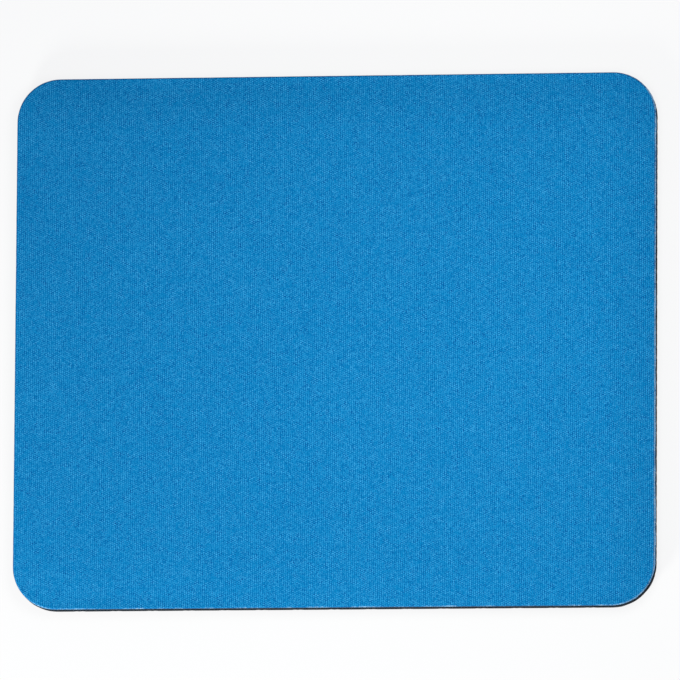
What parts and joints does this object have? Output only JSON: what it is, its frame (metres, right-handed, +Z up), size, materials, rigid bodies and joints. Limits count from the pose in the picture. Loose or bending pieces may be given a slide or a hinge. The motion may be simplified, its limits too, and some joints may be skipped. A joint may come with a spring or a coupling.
{
  "type": "mouse pad",
  "caption": "Rounded rectangular mouse pad: blue knitted cloth bonded to a black sponge-rubber base with a lozenge tread underneath.",
  "frame": {"origin": "middle of the underside, on the surface that the pad lies on", "axes": "+Z up through the cloth, +X along the long side to the right, +Y towards the far side"},
  "size_m": [0.2286, 0.1906, 0.006],
  "materials": {
    "cloth": "fine knitted polyester, matt with a slight sheen",
    "film": "translucent adhesive film, grey-blue between the cloth and the rubber, satin, seen only at the cut edge",
    "sponge": "black sponge rubber, matt, with fine cells on the cut wall"
  },
  "bodies": {
    "root": {"cloth_face": "cloth", "bond_film": "film", "sponge_base": "sponge"}
  },
  "joints": []
}
